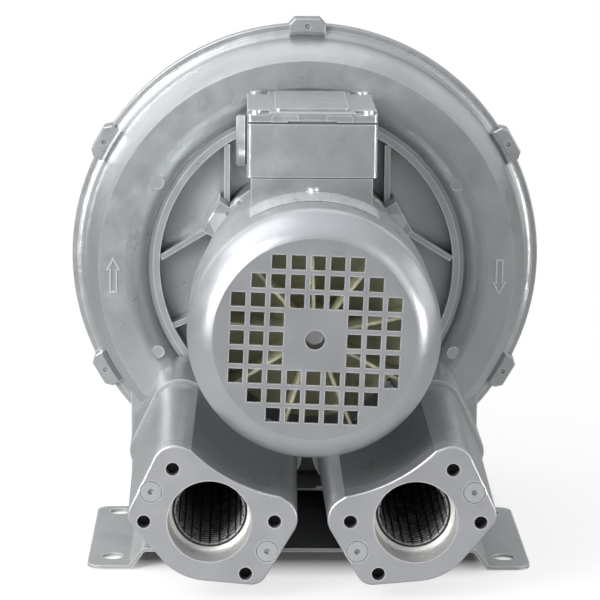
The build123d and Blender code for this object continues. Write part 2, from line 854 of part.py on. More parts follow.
with BuildPart() as outlet_silencer_foam:
    foam_front = neck_end + sleeve_gap
    round_bar(port_plane(foam_front), chamber_bore_radius - sleeve_gap, foam_front - mesh_rear)
    round_bar(port_plane(foam_front), mesh_outer_radius + sleeve_gap, foam_front - mesh_rear, Mode.SUBTRACT)
keep(outlet_silencer_foam, "outlet_silencer_foam")
keep_mirrored(outlet_silencer_foam, "inlet_silencer_foam")

# ================================================================ foot bracket
with BuildPart() as foot_bracket:
    slope_run = foot_rise / sin(radians(foot_slope)) * cos(radians(foot_slope))
    bends = [
        (-foot_width / 2, 0),
        (-foot_bend_x, 0),
        (-foot_bend_x + slope_run, foot_rise),
        (foot_bend_x - slope_run, foot_rise),
        (foot_bend_x, 0),
        (foot_width / 2, 0),
    ]
    with BuildLine(cross_plane(foot_rear, 0, 0)):
        FilletPolyline(*bends, radius=foot_bend_radius)
    make_brake_formed(thickness=foot_sheet, station_widths=foot_rear - foot_front, side=Side.LEFT)
    corner_edges = foot_bracket.edges().filter_by(Axis.Z).group_by(Axis.X)
    fillet(corner_edges[0] + corner_edges[-1], foot_corner_radius)
    with BuildSketch(Plane.XY) as foot_bores:
        with GridLocations(foot_hole_spread, foot_hole_depth_spacing, 2, 2):
            Circle(foot_hole_radius)
    extrude(foot_bores.sketch, amount=foot_sheet + foot_bore_overcut, mode=Mode.SUBTRACT)
    with BuildSketch(Plane.XY.offset(foot_rise)) as pad_bores:
        with Locations(*[(way * port_spread / 2, station) for way in (-1, 1) for station in foot_screw_stations]):
            Circle(foot_screw_radius + screw_clearance)
    extrude(pad_bores.sketch, amount=foot_sheet, mode=Mode.SUBTRACT)
keep(foot_bracket, "foot_bracket")

with BuildPart() as foot_bracket_screws:
    for way in (-1, 1):
        for station in foot_screw_stations:
            seat = Plane((way * port_spread / 2, station, foot_rise), x_dir=(1, 0, 0), z_dir=(0, 0, -1))
            hex_screw(seat, foot_screw_radius, foot_sheet + foot_screw_depth - screw_end_gap, large_hex_flats, large_hex_head)
keep(foot_bracket_screws, "foot_bracket_screws")

# ================================================================ motor frame and shields
with BuildPart() as motor_frame:
    tube(frame_front, frame_shoulder, frame_radius, 0)
    tube(frame_shoulder, frame_rear, frame_rear_radius, 0)
    block(
        (-pedestal_half_width, pedestal_front, axis_height),
        (pedestal_half_width, pedestal_rear, axis_height + pedestal_height),
    )
    block(
        (-pedestal_half_width + pedestal_wall, pedestal_front + pedestal_wall, axis_height + frame_bore_radius + pedestal_root),
        (pedestal_half_width - pedestal_wall, pedestal_rear - pedestal_wall, axis_height + pedestal_height),
        Mode.SUBTRACT,
    )
    tube(frame_front, frame_rear, frame_bore_radius, 0, Mode.SUBTRACT)
    # cable hole between the stator bore and the pedestal
    round_bar(Plane((0, cable_hole_station, axis_height)), cable_hole_radius, pedestal_height, Mode.SUBTRACT)
    bolt_points = polar(tie_bolt_circle, tie_bolt_angles)
    round_bars(frame_rear, bolt_points, tie_bolt_radius + bolt_clearance, frame_rear - frame_front, Mode.SUBTRACT)
    with BuildSketch(Plane.XY.offset(axis_height + pedestal_height)) as box_screw_holes:
        with Locations(*box_screw_points):
            Circle(box_screw_radius)
    extrude(box_screw_holes.sketch, amount=-box_screw_depth, mode=Mode.SUBTRACT)
keep(motor_frame, "motor_frame")

with BuildPart() as drive_end_shield:
    tube(frame_rear - spigot_length, frame_rear, frame_bore_radius - spigot_gap, 0)
    tube(frame_rear, frame_rear + shield_thickness, hub_radius, 0)
    with BuildSketch(cross_plane(frame_rear + shield_thickness)) as ears:
        for lug_angle in hub_lug_angles:
            lug_middle = polar(hub_lug_radius - hub_lug_length / 2, [lug_angle])[0]
            with Locations(Location((*lug_middle, 0), (0, 0, lug_angle))):
                Rectangle(hub_lug_length, hub_lug_width)
    extrude(ears.sketch, amount=shield_thickness)
    bearing_end = drive_bearing_station + drive_bearing_width
    tube(frame_rear - spigot_length, bearing_end, drive_bearing_outer / 2, 0, Mode.SUBTRACT)
    tube(bearing_end, frame_rear + shield_thickness, shaft_hole_radius, 0, Mode.SUBTRACT)
    screw_points = polar(flange_screw_circle, hub_lug_angles)
    round_bars(frame_rear, screw_points, motor_screw_radius + screw_clearance, -shield_thickness, Mode.SUBTRACT)
    round_bars(frame_rear, polar(tie_bolt_circle, tie_bolt_angles), tie_bolt_radius, -tie_bolt_grip, Mode.SUBTRACT)
keep(drive_end_shield, "drive_end_shield")

with BuildPart() as motor_flange_screws:
    for screw_x, screw_z in polar(flange_screw_circle, hub_lug_angles):
        seat = cross_plane(frame_rear, screw_x, axis_height + screw_z)
        hex_screw(seat, motor_screw_radius, shield_thickness + motor_screw_depth - screw_end_gap, large_hex_flats, large_hex_head)
keep(motor_flange_screws, "motor_flange_screws")

fan_shield_rear = frame_front
fan_bearing_end = fan_bearing_station + fan_bearing_width
with BuildPart() as fan_end_shield:
    tube(fan_shield_rear - fan_shield_rim, fan_shield_rear, frame_radius, frame_bore_radius - shield_rim_wall)
    tube(fan_shield_rear, fan_shield_rear + spigot_length, frame_bore_radius - spigot_gap, frame_bore_radius - shield_rim_wall)
    tube(fan_shield_rear - fan_shield_rim, fan_shield_rear - fan_shield_rim + fan_shield_web, frame_radius, 0)
    tube(fan_shield_front, fan_bearing_end, fan_shield_hub_radius, 0)
    with BuildSketch(cross_plane(fan_shield_rear)) as cowl_pads:
        for pad_angle in cowl_screw_angles:
            pad_middle = polar(cowl_pad_radius - cowl_pad_length / 2, [pad_angle])[0]
            with Locations(Location((*pad_middle, 0), (0, 0, pad_angle))):
                Rectangle(cowl_pad_length, 2 * cowl_pad_half_width)
    extrude(cowl_pads.sketch, amount=fan_shield_rim)
    tube(fan_shield_rear - fan_shield_rim, fan_shield_rear, cowl_radius + 5, cowl_pad_radius, Mode.SUBTRACT)
    tube(fan_bearing_station - washer_space, fan_bearing_end, fan_bearing_outer / 2, 0, Mode.SUBTRACT)
    tube(fan_shield_front, fan_bearing_station, fan_shield_hole_radius, 0, Mode.SUBTRACT)
    round_bars(fan_shield_rear, polar(tie_bolt_circle, tie_bolt_angles), tie_bolt_radius + bolt_clearance, fan_shield_rim, Mode.SUBTRACT)
    for pad_angle in cowl_screw_angles:
        seat = outward_plane(pad_angle, cowl_screw_station, cowl_pad_radius)
        round_bar(seat, cowl_screw_radius, -cowl_screw_grip, Mode.SUBTRACT)
keep(fan_end_shield, "fan_end_shield")

with BuildPart() as motor_tie_bolts:
    bolt_head_station = fan_shield_rear - fan_shield_rim
    for bolt_x, bolt_z in polar(tie_bolt_circle, tie_bolt_angles):
        seat = cross_plane(bolt_head_station, bolt_x, axis_height + bolt_z)
        hex_screw(seat, tie_bolt_radius, frame_rear + tie_bolt_grip - screw_end_gap - bolt_head_station, small_hex_flats, small_hex_head)
keep(motor_tie_bolts, "motor_tie_bolts")

# ================================================================ stator and rotor
slot_depth = slot_outer_radius - slot_inner_radius
slot_middle = (slot_outer_radius + slot_inner_radius) / 2

with BuildPart() as stator_core:
    tube(stator_front, stator_rear, frame_bore_radius, stator_bore_radius)
    with BuildSketch(cross_plane(stator_rear)) as slots:
        with PolarLocations(slot_middle, slot_count):
            Rectangle(slot_depth, slot_width)
    extrude(slots.sketch, amount=stator_rear - stator_front, mode=Mode.SUBTRACT)
keep(stator_core, "stator_core")

with BuildPart() as stator_winding:
    tube(stator_front - winding_overhang, stator_front, winding_outer_radius, winding_inner_radius)
    tube(stator_rear, stator_rear + winding_overhang, winding_outer_radius, winding_inner_radius)
    extrude(slots.sketch, amount=stator_rear - stator_front)
keep(stator_winding, "stator_winding")

rotor_radius = stator_bore_radius - air_gap
bar_depth = bar_outer_radius - bar_inner_radius
with BuildPart() as rotor_core:
    tube(stator_front, stator_rear, rotor_radius, rotor_seat_radius)
    with BuildSketch(cross_plane(stator_rear)) as bars:
        with PolarLocations((bar_outer_radius + bar_inner_radius) / 2, bar_count):
            Rectangle(bar_depth, bar_width)
    extrude(bars.sketch, amount=stator_rear - stator_front, mode=Mode.SUBTRACT)
keep(rotor_core, "rotor_core")

with BuildPart() as rotor_cage:
    tube(stator_front - end_ring_length, stator_front, rotor_radius - 1.0, bar_inner_radius - 4.0)
    tube(stator_rear, stator_rear + end_ring_length, rotor_radius - 1.0, bar_inner_radius - 4.0)
    extrude(bars.sketch, amount=stator_rear - stator_front)
keep(rotor_cage, "rotor_cage")

# ================================================================ shaft
shaft_points = [
    (shaft_front, 0),
    (shaft_front, fan_seat_radius - shaft_chamfer),
    (shaft_front + shaft_chamfer, fan_seat_radius),
    (fan_shield_front - 2.0, fan_seat_radius),
    (fan_shield_front - 2.0, fan_bearing_bore / 2),
    (fan_bearing_end, fan_bearing_bore / 2),
    (fan_bearing_end, rotor_seat_radius),
    (drive_bearing_station, rotor_seat_radius),
    (drive_bearing_station, drive_bearing_bore / 2),
    (drive_bearing_station + drive_bearing_width, drive_bearing_bore / 2),
    (drive_bearing_station + drive_bearing_width, impeller_seat_radius),
    (shaft_rear - shaft_chamfer, impeller_seat_radius),
    (shaft_rear, impeller_seat_radius - shaft_chamfer),
    (shaft_rear, 0),
]
key_middle = (impeller_hub_front + impeller_hub_rear) / 2
key_bottom = axis_height + impeller_seat_radius - key_sunk
with BuildPart() as motor_shaft:
    turn(shaft_points)
    round_bar(cross_plane(shaft_rear), end_screw_radius, end_screw_depth, Mode.SUBTRACT)
    block(
        (-key_width / 2, key_middle - key_length / 2, key_bottom),
        (key_width / 2, key_middle + key_length / 2, axis_height + impeller_seat_radius + 1),
        Mode.SUBTRACT,
    )
    # groove for the fan clip
    tube(clip_station, clip_station + clip_width, fan_seat_radius + 1, fan_seat_radius - 0.8, Mode.SUBTRACT)
keep(motor_shaft, "motor_shaft")

with BuildPart() as impeller_key:
    block(
        (-key_width / 2, key_middle - key_length / 2, key_bottom),
        (key_width / 2, key_middle + key_length / 2, key_bottom + key_height),
    )
keep(impeller_key, "impeller_key")


# ================================================================ bearings
def deep_groove_bearing(name, station, bore, outer, width, ball_count):
    """Deep groove ball bearing as four pieces: two rings, the balls and their cage."""
    section = (outer - bore) / 2
    ball_radius = section * 0.3
    pitch_radius = (outer + bore) / 4
    middle = station + width / 2
    ring_wall = section * 0.3
    groove = ball_radius + ball_gap

    def ring(inner_radius, outer_radius):
        with BuildPart() as race:
            with BuildSketch(radial_plane(90)) as race_section:
                with Locations((middle, (inner_radius + outer_radius) / 2)):
                    Rectangle(width, outer_radius - inner_radius)
                with Locations((middle, pitch_radius)):
                    Circle(groove, mode=Mode.SUBTRACT)
            revolve(race_section.sketch, axis=shaft_axis)
        return race

    outer_ring = ring(outer / 2 - ring_wall, outer / 2)
    keep(outer_ring, name + "_outer_ring")
    inner_ring = ring(bore / 2, bore / 2 + ring_wall)
    keep(inner_ring, name + "_inner_ring")

    ball_points = polar(pitch_radius, [90.0 + index * 360.0 / ball_count for index in range(ball_count)])
    with BuildPart() as balls:
        with Locations(*[(x, middle, axis_height + z) for x, z in ball_points]):
            Sphere(ball_radius)
    keep(balls, name + "_balls")

    with BuildPart() as cage:
        cage_half = section / 2 - ring_wall - 0.5
        tube(middle - ball_radius - 0.8, middle + ball_radius + 0.8, pitch_radius + cage_half, pitch_radius - cage_half)
        for index in range(ball_count):
            pocket = outward_plane(90.0 + index * 360.0 / ball_count, middle, 0)
            round_bar(pocket, ball_radius + ball_gap, outer / 2, Mode.SUBTRACT)
    keep(cage, name + "_cage")


deep_groove_bearing(
    "drive_bearing", drive_bearing_station, drive_bearing_bore, drive_bearing_outer, drive_bearing_width, 9
)
deep_groove_bearing("fan_bearing", fan_bearing_station, fan_bearing_bore, fan_bearing_outer, fan_bearing_width, 8)

with BuildPart() as wave_washer:
    tube(
        fan_bearing_station - washer_space,
        fan_bearing_station,
        fan_bearing_outer / 2 - 0.3,
        fan_bearing_outer / 2 - 4.0,
    )
keep(wave_washer, "wave_washer")

with BuildPart() as shaft_seal:
    seal_end = seal_station + seal_width
    lip_radius_at_shaft = impeller_seat_radius + seal_lip_gap
    seal_points = [
        (seal_station, seal_radius),
        (seal_end, seal_radius),
        (seal_end, seal_radius - 3.0),
        (seal_station + 2.5, seal_radius - 3.0),
        (seal_station + 2.5, lip_radius_at_shaft + 2.5),
        (seal_station + 6.0, lip_radius_at_shaft + 2.0),
        (seal_station + 6.0, lip_radius_at_shaft + 0.6),
        (seal_station + 4.5, lip_radius_at_shaft),
        (seal_station + 3.0, lip_radius_at_shaft),
        (seal_station, lip_radius_at_shaft + 1.5),
    ]
    turn(seal_points)
keep(shaft_seal, "shaft_seal")

# ================================================================ impeller
with BuildPart() as impeller:
    tip_radius = channel_outer_radius - radial_gap
    band_outer = channel_inner_radius
    band_inner = channel_inner_radius - impeller_band
    core_mid_radius = (band_outer + impeller_core_radius) / 2

    def centred(offset_from_parting, radius):
        return (parting + offset_from_parting, radius)

    # hub, web and band in one turned section
    turn([
        (impeller_hub_front, impeller_seat_radius),
        (impeller_hub_rear, impeller_seat_radius),
        (impeller_hub_rear, impeller_hub_radius - 2),
        centred(impeller_web_half + 1.5, impeller_hub_radius),
        centred(impeller_web_half, band_inner),
        centred(impeller_half_width, band_inner),
        centred(impeller_half_width, band_outer),
        centred(-impeller_half_width, band_outer),
        centred(-impeller_half_width, band_inner),
        centred(-impeller_web_half, band_inner),
        centred(-impeller_web_half - 1.5, impeller_hub_radius),
        (impeller_hub_front, impeller_hub_radius - 2),
    ])
    # curved core between the blades: thick at the band and thin at the rim
    with BuildSketch(radial_plane(90)) as core_section:
        with BuildLine():
            Line(centred(-impeller_core_half, band_outer - 1), centred(impeller_core_half, band_outer - 1))
            ThreePointArc(
                centred(impeller_core_half, band_outer - 1),
                centred(impeller_core_half * 0.36, core_mid_radius - 3),
                centred(impeller_core_tip_half, impeller_core_radius),
            )
            Line(
                centred(impeller_core_tip_half, impeller_core_radius),
                centred(-impeller_core_tip_half, impeller_core_radius),
            )
            ThreePointArc(
                centred(-impeller_core_tip_half, impeller_core_radius),
                centred(-impeller_core_half * 0.36, core_mid_radius - 3),
                centred(-impeller_core_half, band_outer - 1),
            )
        make_face()
    revolve(core_section.sketch, axis=shaft_axis)
    with BuildSketch(cross_plane(parting + impeller_half_width)) as blades:
        with PolarLocations((band_outer + tip_radius) / 2 - 1, blade_count, start_angle=5):
            Rectangle(tip_radius - band_outer + 1, blade_thickness)
    extrude(blades.sketch, amount=2 * impeller_half_width)
    balance_angles = [index * 360.0 / balance_hole_count for index in range(balance_hole_count)]
    balance_points = polar(balance_hole_circle, balance_angles)
    round_bars(parting + 10, balance_points, balance_hole_radius, 20, Mode.SUBTRACT)
    block(
        (-key_width / 2, impeller_hub_front, axis_height),
        (key_width / 2, impeller_hub_rear, key_bottom + key_height),
        Mode.SUBTRACT,
    )
keep(impeller, "impeller")

washer_face = impeller_hub_rear
with BuildPart() as impeller_washer:
    tube(washer_face, washer_face + end_washer_thickness, end_washer_radius, end_screw_radius)
keep(impeller_washer, "impeller_washer")

with BuildPart() as impeller_screw:
    seat = cross_plane(washer_face + end_washer_thickness)
    screw_length = end_washer_thickness + (washer_face - shaft_rear) + end_screw_depth - 2.0
    hex_screw(Plane(seat.origin, seat.x_dir, -seat.z_dir), end_screw_radius, screw_length, 13.0, 5.3)
keep(impeller_screw, "impeller_screw")

# ================================================================ cooling fan
with BuildPart() as cooling_fan:
    tube(fan_front, fan_rear, fan_hub_radius, fan_seat_radius)
    tube(fan_rear - fan_plate, fan_rear, fan_radius - 8.0, fan_seat_radius)
    with BuildSketch(cross_plane(fan_rear)) as fan_blades:
        with PolarLocations((fan_hub_radius + fan_radius) / 2 - 1, fan_blade_count, start_angle=12):
            Rectangle(fan_radius - fan_hub_radius + 2, fan_blade_thickness)
    extrude(fan_blades.sketch, amount=fan_rear - fan_front)
keep(cooling_fan, "cooling_fan")

with BuildPart() as fan_clip:
    tube(clip_station, clip_station + clip_width, fan_seat_radius + 2.2, fan_seat_radius - 0.8)
    block(
        (-2.5, clip_station - 1, axis_height - fan_seat_radius - 4),
        (2.5, clip_station + clip_width + 1, axis_height),
        Mode.SUBTRACT,
    )
keep(fan_clip, "fan_clip")


# ================================================================ fan cowl
def cowl_form(inset, mode=Mode.ADD):
    """Cup of the cowl: flat face, round nose, sloping shoulder and straight rim."""
    front = cowl_front + inset
    rear = cowl_rear + (1.0 if inset else 0.0)
    outer = cowl_radius - inset
    face = cowl_face_radius - inset * 0.4
    with BuildSketch(radial_plane(90)) as section:
        with BuildLine():
            Polyline((rear, 0), (front, 0), (front, face))
            Spline(
                (front, face),
                (front + cowl_nose * 0.3, face + (outer - face) * 0.58),
                (front + cowl_nose, outer),
                tangents=((0.25, 1), (1, 0)),
            )
            Polyline((front + cowl_nose, outer), (rear, outer), (rear, 0))
        make_face()
    revolve(section.sketch, axis=shaft_axis, mode=mode)


with BuildPart() as fan_cowl:
    cowl_form(0)
    cowl_form(cowl_wall, Mode.SUBTRACT)
    rows = len(cowl_hole_rows)
    with BuildSketch(cross_plane(cowl_front + 3)) as grille:
        for row, half_count in enumerate(cowl_hole_rows):
            height = (row - (rows - 1) / 2) * cowl_pitch
            for column in range(-half_count, half_count + 1):
                middle_block = abs(column) <= 1 and abs(height) <= cowl_pitch * 1.2
                if not middle_block:
                    turn_by = radians(cowl_turn)
                    x = column * cowl_pitch * cos(turn_by) - height * sin(turn_by)
                    z = column * cowl_pitch * sin(turn_by) + height * cos(turn_by)
                    with Locations(Location((x, z, 0), (0, 0, cowl_turn))):
                        Rectangle(cowl_hole, cowl_hole)
        Circle(cowl_centre_hole_radius)
    extrude(grille.sketch, amount=6, mode=Mode.SUBTRACT)
    for pad_angle in cowl_screw_angles:
        seat = outward_plane(pad_angle, cowl_screw_station, cowl_radius + 2)
        round_bar(seat, cowl_screw_radius + 0.2, -6, Mode.SUBTRACT)
keep(fan_cowl, "fan_cowl")

with BuildPart() as cowl_screws:
    for pad_angle in cowl_screw_angles:
        seat = outward_plane(pad_angle, cowl_screw_station, cowl_radius + 0.05)
        pan_screw(seat, cowl_screw_radius, cowl_radius - cowl_pad_radius + cowl_screw_grip - 1.0, 4.4, 2.4, 1.6)
keep(cowl_screws, "cowl_screws")

with BuildPart() as nameplate:
    half_angle = degrees(asin(nameplate_half_width / cowl_radius))
    with BuildSketch(radial_plane(90 + half_angle)) as strip:
        height = cowl_radius + nameplate_glue + nameplate_thickness / 2
        with Locations(((nameplate_front + nameplate_rear) / 2, height)):
            Rectangle(nameplate_rear - nameplate_front, nameplate_thickness)
    revolve(strip.sketch, axis=shaft_axis, revolution_arc=2 * half_angle)
keep(nameplate, "nameplate")

# ================================================================ terminal box
box_floor_z = axis_height + box_bottom
box_rim_z = axis_height + box_top
box_middle = (box_front + box_rear) / 2
box_length = box_rear - box_front
post_points = [
    (x * (box_half_width - post_size / 2), box_middle + y * (box_length / 2 - post_size / 2))
    for x in (-1, 1)
    for y in (-1, 1)
]


def box_plan(z, inset=0.0, corner=box_corner):
    """Rectangle of the box in plan, with rounded corners."""
    with BuildSketch(Plane((0, box_middle, z))) as plan:
        RectangleRounded(2 * (box_half_width - inset), box_length - 2 * inset, corner)
    return plan.sketch


def holes_down(points, top, radius, depth):
    """Round holes down from a level."""
    with BuildSketch(Plane.XY.offset(top)) as section:
        with Locations(*points):
            Circle(radius)
    extrude(section.sketch, amount=-depth, mode=Mode.SUBTRACT)


with BuildPart() as box_gasket:
    gasket_top = axis_height + box_bottom
    block(
        (-pedestal_half_width, pedestal_front, axis_height + pedestal_height),
        (pedestal_half_width, pedestal_rear, gasket_top),
    )
    block(
        (-pedestal_half_width + pedestal_wall, pedestal_front + pedestal_wall, axis_height + pedestal_height),
        (pedestal_half_width - pedestal_wall, pedestal_rear - pedestal_wall, gasket_top),
        Mode.SUBTRACT,
    )
    holes_down(box_screw_points, gasket_top, box_screw_radius, box_bottom - pedestal_height)
keep(box_gasket, "box_gasket")

with BuildPart() as terminal_box_base:
    extrude(box_plan(box_floor_z), amount=box_top - box_bottom)
    extrude(box_plan(box_floor_z + box_floor, box_wall, 1.0), amount=box_top, mode=Mode.SUBTRACT)
    with BuildSketch(Plane.XY.offset(box_floor_z + box_floor)) as posts:
        with Locations(*post_points):
            Rectangle(post_size - 1, post_size - 1)
    extrude(posts.sketch, amount=box_top - box_bottom - box_floor)
    block(
        (-cable_window / 2, cable_hole_station - 2 * cable_window, box_floor_z),
        (cable_window / 2, cable_hole_station, box_floor_z + box_floor),
        Mode.SUBTRACT,
    )
    holes_down(box_screw_points, box_floor_z + box_floor, box_screw_radius + 0.3, box_floor)
    holes_down(post_points, box_rim_z, lid_screw_radius, lid_screw_depth)
    holes_down([earth_point], box_floor_z + box_floor, earth_screw_radius, box_floor)
    plug_wall = Plane((-box_half_width, plug_station, axis_height + plug_height), x_dir=(0, 1, 0), z_dir=(-1, 0, 0))
    round_bar(plug_wall, plug_thread_radius, -box_wall, Mode.SUBTRACT)
    # support posts of the terminal board
    with BuildSketch(Plane.XY.offset(box_floor_z + box_floor)) as board_posts:
        with Locations((-board_length / 2 + 6, board_station), (board_length / 2 - 6, board_station)):
            Rectangle(8, board_width)
    extrude(board_posts.sketch, amount=board_lift)
keep(terminal_box_base, "terminal_box_base")

with BuildPart() as box_screws:
    for screw_x, screw_y in box_screw_points:
        seat = Plane((screw_x, screw_y, box_floor_z + box_floor))
        grip = box_floor + (box_bottom - pedestal_height) + box_screw_depth - 1.0
        pan_screw(seat, box_screw_radius, grip, 4.2, 3.0, 2.0)
keep(box_screws, "box_screws")

with BuildPart() as terminal_board:
    board_bottom = box_floor_z + box_floor + board_lift
    with BuildSketch(Plane((0, board_station, board_bottom))) as board_plan:
        RectangleRounded(board_length, board_width, 3)
    extrude(board_plan.sketch, amount=board_thickness)
    stud_points = [
        (column * stud_pitch, board_station + row * stud_row / 2) for column in (-1, 0, 1) for row in (-1, 1)
    ]
    holes_down(stud_points, board_bottom + board_thickness, stud_radius, board_thickness)
    with BuildSketch(Plane.XY.offset(board_bottom + board_thickness)) as dividers:
        with Locations((-stud_pitch / 2, board_station), (stud_pitch / 2, board_station)):
            Rectangle(1.6, board_width - 4)
    extrude(dividers.sketch, amount=5)
keep(terminal_board, "terminal_board")

board_top = board_bottom + board_thickness
with BuildPart() as link_bars:
    for column in (-1, 0, 1):
        link_x = column * stud_pitch
        with BuildSketch(Plane((link_x, board_station, board_top))) as link:
            SlotCenterToCenter(stud_row, 9, rotation=90)
            with Locations((0, -stud_row / 2), (0, stud_row / 2)):
                Circle(stud_radius, mode=Mode.SUBTRACT)
        extrude(link.sketch, amount=link_thickness)
keep(link_bars, "link_bars")

with BuildPart() as terminal_studs:
    for stud_x, stud_y in stud_points:
        nut_seat = Plane((stud_x, stud_y, board_top + link_thickness))
        hex_screw(nut_seat, stud_radius, link_thickness + board_thickness - 0.5, 8.0, 4.0)
        round_bar(nut_seat, stud_radius, 8.0)
keep(terminal_studs, "terminal_studs")

with BuildPart() as earth_screw:
    pan_screw(Plane((*earth_point, box_floor_z + box_floor)), earth_screw_radius, box_floor - 0.5, 4.5, 3.0, 2.0)
keep(earth_screw, "earth_screw")

with BuildPart() as lid_gasket:
    extrude(box_plan(box_rim_z, lid_gasket_set_back, 2.5), amount=lid_gasket_thickness)
    extrude(box_plan(box_rim_z, box_wall, 1.0), amount=lid_gasket_thickness, mode=Mode.SUBTRACT)
keep(lid_gasket, "lid_gasket")

lid_bottom = box_rim_z + lid_gasket_thickness
with BuildPart() as terminal_box_lid:
    # edge, body between the four corner pads, and the bare raised panel
    extrude(box_plan(lid_bottom), amount=lid_edge_height)
    with BuildSketch(Plane((0, box_middle, lid_bottom + lid_edge_height))) as lid_body:
        Rectangle(2 * (box_half_width - lid_pad), box_length)
        Rectangle(2 * box_half_width, box_length - 2 * lid_pad)
    extrude(lid_body.sketch, amount=lid_body_height - lid_edge_height)
    chamfer(terminal_box_lid.faces().sort_by(Axis.Z)[-1].outer_wire().edges(), 0.8)
    with BuildSketch(Plane((0, box_middle, lid_bottom + lid_body_height))) as lid_panel:
        RectangleRounded(2 * lid_panel_half_width, box_length - 2 * lid_panel_margin, 3)
    extrude(lid_panel.sketch, amount=lid_panel_height - lid_body_height)
    # locating tabs along the front edge and the slit under it
    for way in (-1, 1):
        with BuildSketch(Plane((way * lid_tab_offset, box_front, lid_bottom), x_dir=(1, 0, 0), z_dir=(0, -1, 0))) as tab:
            with BuildLine():
                Polyline(
                    (lid_tab_width / 2, 0),
                    (lid_tab_width / 2, lid_edge_height - 1.2),
                    (lid_tab_width / 2 - 1.6, lid_edge_height),
                    (1.6 - lid_tab_width / 2, lid_edge_height),
                    (-lid_tab_width / 2, lid_edge_height - 1.2),
                    (-lid_tab_width / 2, 0),
                    close=True,
                )
            make_face()
        extrude(tab.sketch, amount=lid_tab_proud)
    block(
        (-slit_width / 2, box_front - 1, lid_bottom),
        (slit_width / 2, box_front + slit_depth, lid_bottom + slit_height),
        Mode.SUBTRACT,
    )
    holes_down(post_points, lid_bottom + lid_edge_height, lid_screw_radius + 0.2, lid_edge_height)
keep(terminal_box_lid, "terminal_box_lid")

with BuildPart() as lid_screws:
    for post_x, post_y in post_points:
        seat = Plane((post_x, post_y, lid_bottom + lid_edge_height))
        grip = lid_edge_height + lid_gasket_thickness + lid_screw_depth - 1.0
        pan_screw(seat, lid_screw_radius, grip, 3.8, 2.6, 2.0)
keep(lid_screws, "lid_screws")

seal_face = plug_wall.offset(plug_seal_thickness)
with BuildPart() as plug_seal:
    round_bar(plug_wall, plug_radius - 1.0, plug_seal_thickness)
    round_bar(plug_wall, plug_thread_radius, plug_seal_thickness, Mode.SUBTRACT)
keep(plug_seal, "plug_seal")

with BuildPart() as blanking_plug:
    round_bar(seal_face, plug_radius, plug_head)
    chamfer(blanking_plug.edges().sort_by(Axis.X)[0], 1.5)
    round_bar(seal_face, plug_thread_radius, -(plug_seal_thickness + box_wall + 2.0))
    with BuildSketch(seal_face.offset(plug_head)) as plug_slot:
        Rectangle(plug_radius * 1.1, 3.0)
    extrude(plug_slot.sketch, amount=-2.2, mode=Mode.SUBTRACT)
keep(blanking_plug, "blanking_plug")
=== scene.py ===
import json
import math

import bpy
from mathutils import Matrix, Vector


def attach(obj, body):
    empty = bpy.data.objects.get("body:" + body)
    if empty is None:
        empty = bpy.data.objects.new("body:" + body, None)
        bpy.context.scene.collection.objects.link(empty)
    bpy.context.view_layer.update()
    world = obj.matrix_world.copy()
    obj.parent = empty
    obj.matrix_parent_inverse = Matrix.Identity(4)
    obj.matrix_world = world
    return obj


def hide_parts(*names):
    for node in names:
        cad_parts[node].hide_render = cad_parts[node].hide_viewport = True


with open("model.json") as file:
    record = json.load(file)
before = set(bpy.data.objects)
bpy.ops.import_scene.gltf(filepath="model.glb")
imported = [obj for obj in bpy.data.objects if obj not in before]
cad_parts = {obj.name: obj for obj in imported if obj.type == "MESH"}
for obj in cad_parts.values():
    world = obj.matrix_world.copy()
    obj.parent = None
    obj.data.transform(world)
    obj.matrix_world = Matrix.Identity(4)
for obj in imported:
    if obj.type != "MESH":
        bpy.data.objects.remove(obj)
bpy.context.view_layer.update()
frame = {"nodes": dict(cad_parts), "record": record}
nodes = frame["nodes"]
bpy.ops.object.select_all(action="DESELECT")


# ------------------------------------------------------------ laying out a finish
def new_finish(name, colour, metallic, roughness, **sockets):
    """An empty finish: its material, node tree and shader, with the plain values set."""
    finish = bpy.data.materials.new(name)
    finish.use_nodes = True
    tree = finish.node_tree
    shader = tree.nodes["Principled BSDF"]
    shader.inputs["Base Color"].default_value = (*colour, 1)
    shader.inputs["Metallic"].default_value = metallic
    shader.inputs["Roughness"].default_value = roughness
    for socket, value in sockets.items():
        shader.inputs[socket.replace("_", " ")].default_value = value
    finish.diffuse_color = (*colour, 1)
    return finish, tree, shader


def scaled(colour, share):
    return tuple(share * channel for channel in colour)


def surface_point(tree):
    """Coordinates fixed to the piece, in metres."""
    return tree.nodes.new("ShaderNodeTexCoord").outputs["Object"]


def stretched(tree, vector, scale):
    mapping = tree.nodes.new("ShaderNodeMapping")
    mapping.inputs["Scale"].default_value = scale
    tree.links.new(vector, mapping.inputs["Vector"])
    return mapping.outputs["Vector"]


def grain(tree, vector, scale, detail=3.0, roughness=0.55, distortion=0.0):
    noise = tree.nodes.new("ShaderNodeTexNoise")
    noise.inputs["Scale"].default_value = scale
    noise.inputs["Detail"].default_value = detail
    noise.inputs["Roughness"].default_value = roughness
    noise.inputs["Distortion"].default_value = distortion
    tree.links.new(vector, noise.inputs["Vector"])
    return noise.outputs["Fac"]


def spread(tree, value, low, high, out_low, out_high):
    """Stretches low..high of a value to out_low..out_high."""
    node = tree.nodes.new("ShaderNodeMapRange")
    for socket, number in zip(("From Min", "From Max", "To Min", "To Max"), (low, high, out_low, out_high)):
        node.inputs[socket].default_value = number
    tree.links.new(value, node.inputs["Value"])
    return node.outputs["Result"]


def reckon(tree, operation, first, second=None):
    node = tree.nodes.new("ShaderNodeMath")
    node.operation = operation
    for socket, value in zip(node.inputs, (first, second)):
        if isinstance(value, (int, float)):
            socket.default_value = value
        elif value is not None:
            tree.links.new(value, socket)
    return node.outputs["Value"]


